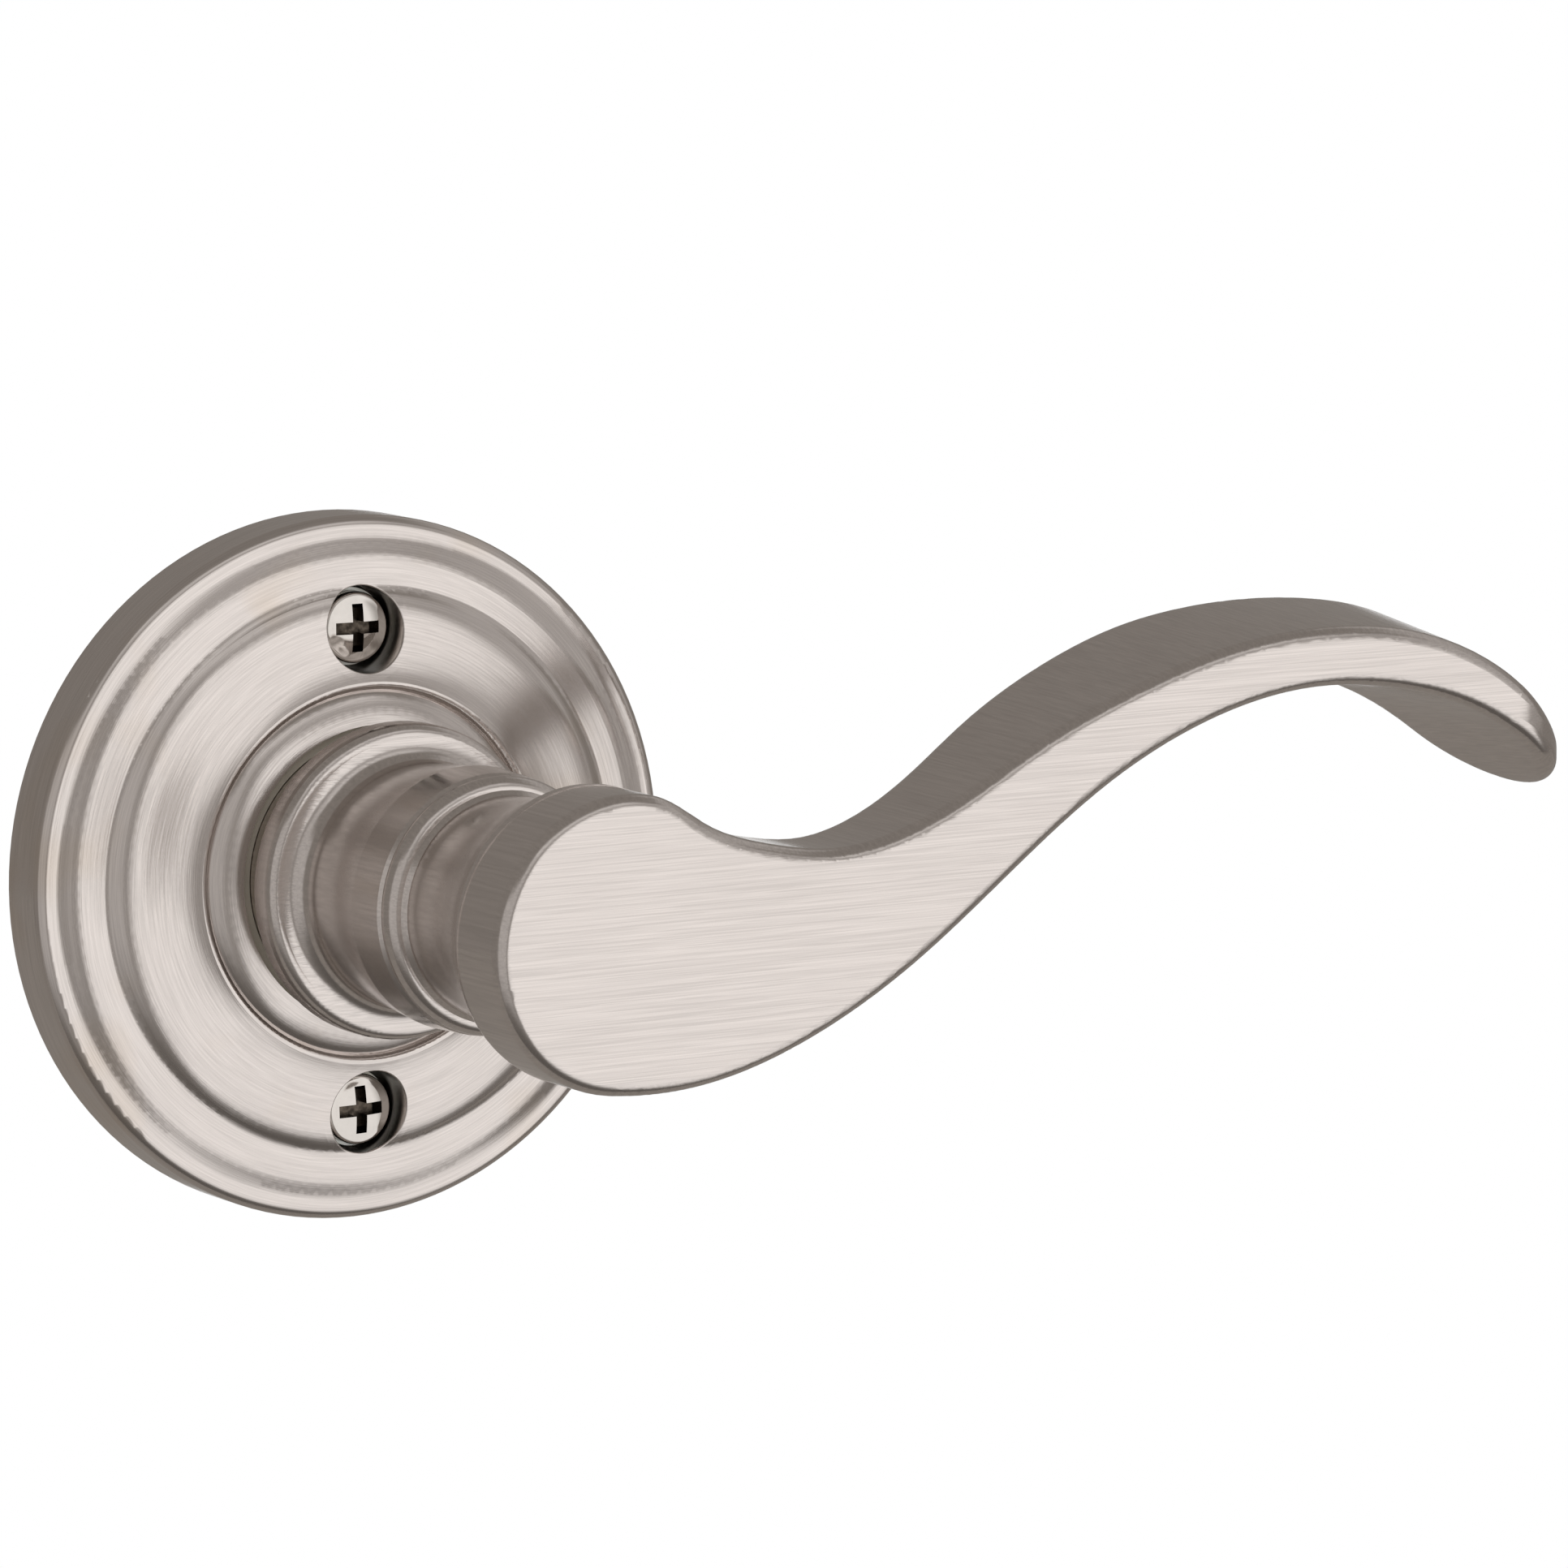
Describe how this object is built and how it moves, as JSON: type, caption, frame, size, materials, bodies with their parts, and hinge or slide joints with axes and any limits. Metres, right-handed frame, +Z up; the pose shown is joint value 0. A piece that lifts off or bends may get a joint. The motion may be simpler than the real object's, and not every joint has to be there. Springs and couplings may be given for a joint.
{
  "type": "door lever handle",
  "caption": "Satin nickel door lever on a stepped round rose: a wave-shaped lever with a curled tip turns on a sprung spindle that draws a latch.",
  "frame": {"origin": "on the lever's turning axis, at the face of the door", "axes": "+Y into the door along the turning axis, +X along the lever to its tip, +Z up"},
  "size_m": [0.1467, 0.0935, 0.07],
  "materials": {
    "satin_nickel": "satin brushed nickel plate",
    "polished_nickel": "polished nickel plate",
    "zinc_plated_steel": "bright zinc plate",
    "bright_steel": "drawn bright steel",
    "spring_steel": "oiled spring steel",
    "black_steel": "black oxide",
    "acetal": "natural acetal"
  },
  "bodies": {
    "rose": {"rose_cover": "satin_nickel", "mounting_plate": "zinc_plated_steel", "screw_posts": "zinc_plated_steel", "screw_washers": "zinc_plated_steel", "mounting_screws": "polished_nickel", "rose_bush": "acetal", "plate_bush": "acetal", "rose_clips": "spring_steel", "clip_rivets": "zinc_plated_steel", "spring_anchor": "zinc_plated_steel", "stop_pins": "zinc_plated_steel", "return_spring": "spring_steel"},
    "lever": {"lever_handle": "satin_nickel", "drive_sleeve": "bright_steel", "spring_driver": "zinc_plated_steel", "set_screw": "black_steel", "latch_spindle": "bright_steel", "spindle_pin": "bright_steel", "thrust_washer": "acetal", "retaining_ring": "spring_steel"}
  },
  "joints": [
    {"name": "lever_turn", "type": "hinge", "parent": "rose", "child": "lever", "pos_m": [0, 0, 0], "axis": [0, 1, 0], "range_deg": [-50, 50], "stiffness_Nm_per_rad": 2, "springref_deg": -1.86, "deforming": ["return_spring"]}
  ]
}
